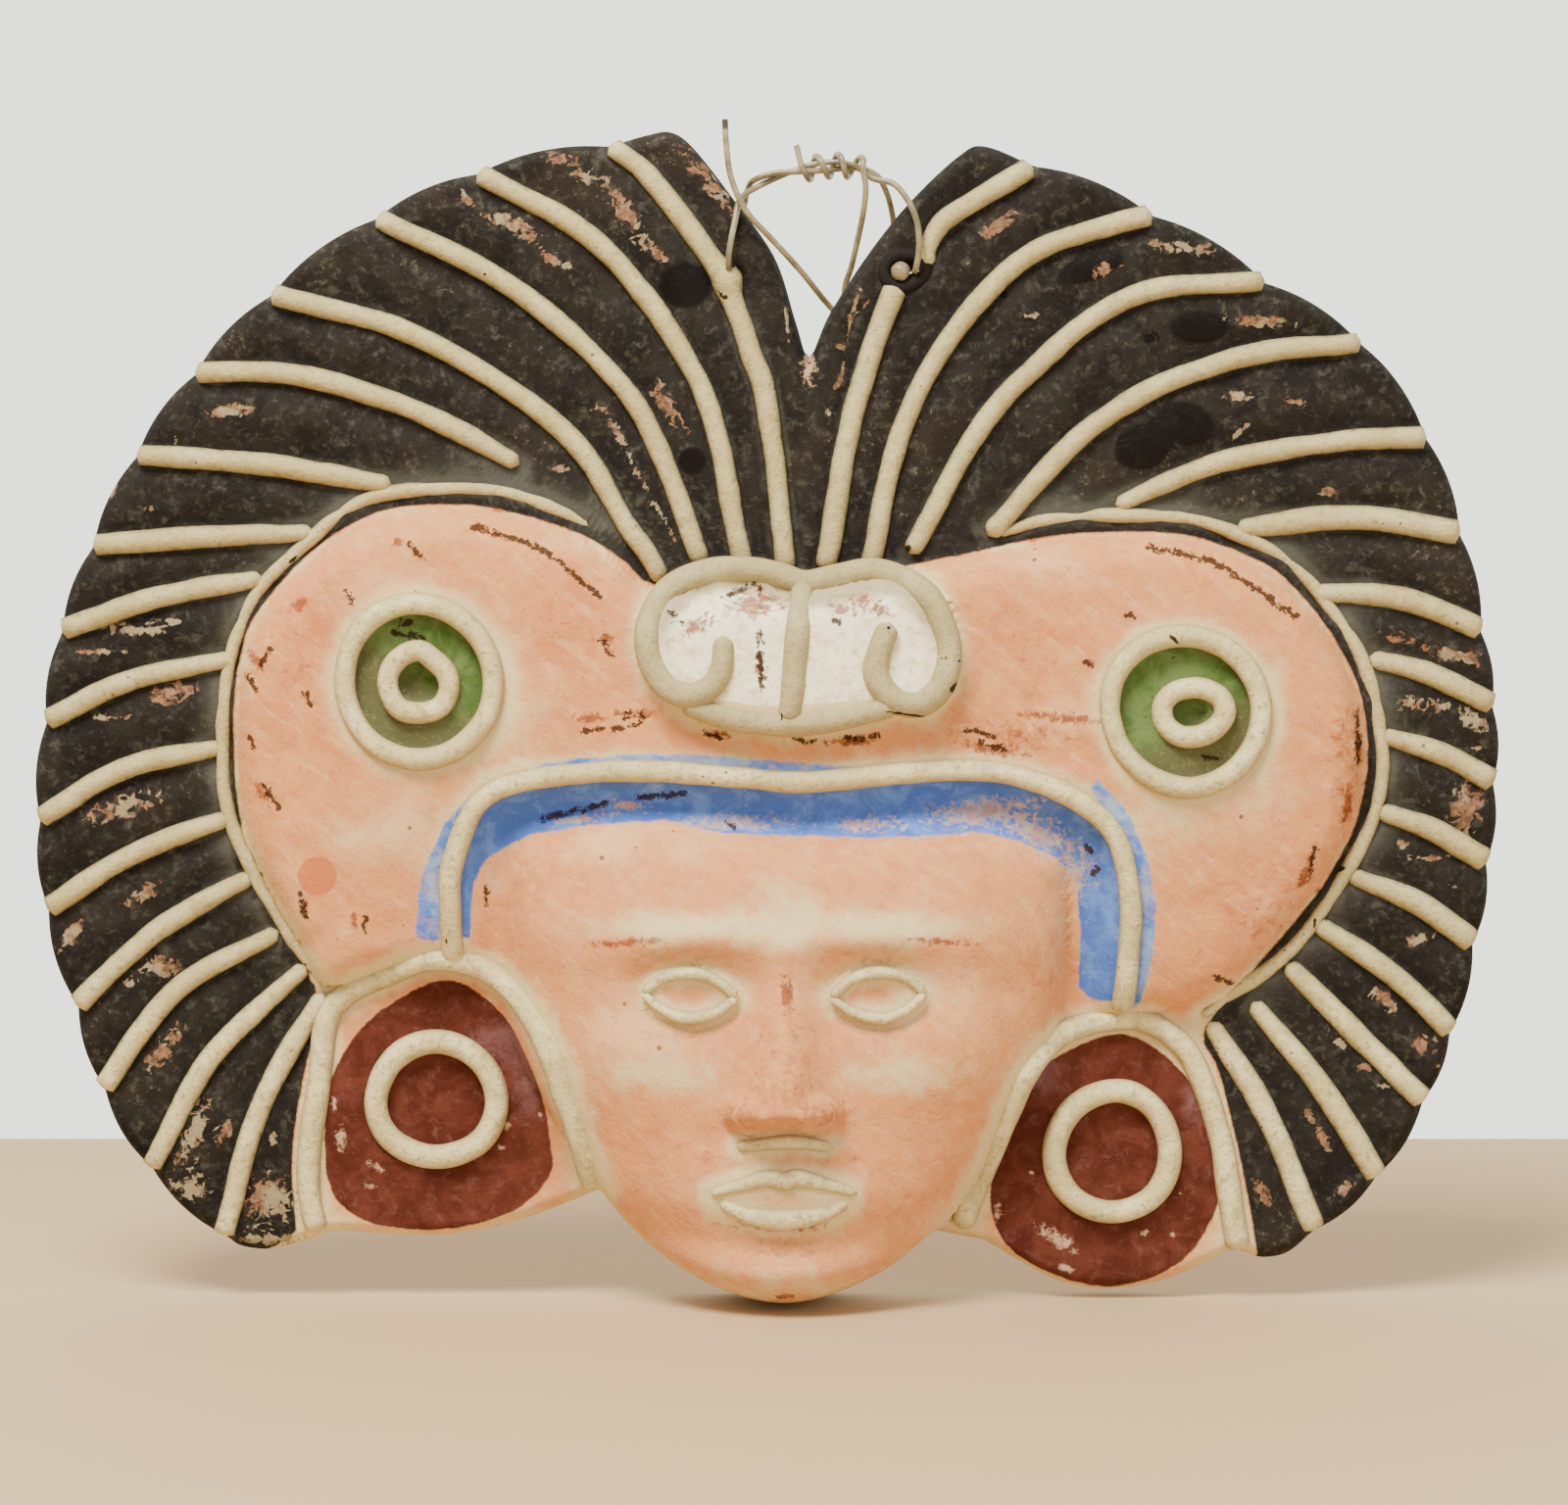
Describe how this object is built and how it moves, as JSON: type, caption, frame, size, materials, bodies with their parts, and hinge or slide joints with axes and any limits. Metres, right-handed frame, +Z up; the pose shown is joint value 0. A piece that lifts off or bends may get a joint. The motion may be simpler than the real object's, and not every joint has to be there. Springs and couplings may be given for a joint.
{
  "type": "terracotta wall mask",
  "caption": "Painted clay relief plaque to hang on a wall: a calm human face in an animal headdress with round eyes and a feather crest, strung on a nylon line.",
  "frame": {"origin": "on the flat back under the notch of the crest, in the plane of the wall", "axes": "+X to the right as seen from the front, +Y into the wall, +Z up; the carved front faces -Y"},
  "size_m": [0.3193, 0.0483, 0.2559],
  "materials": {
    "painted terracotta": "matte, unglazed, painted with clay slips and matte colours",
    "nylon line": "aged, slightly translucent"
  },
  "bodies": {
    "root": {"mask": "painted terracotta", "hanging_line": "nylon line", "hanging_line_tie": "nylon line", "line_knot": "nylon line"}
  },
  "joints": []
}
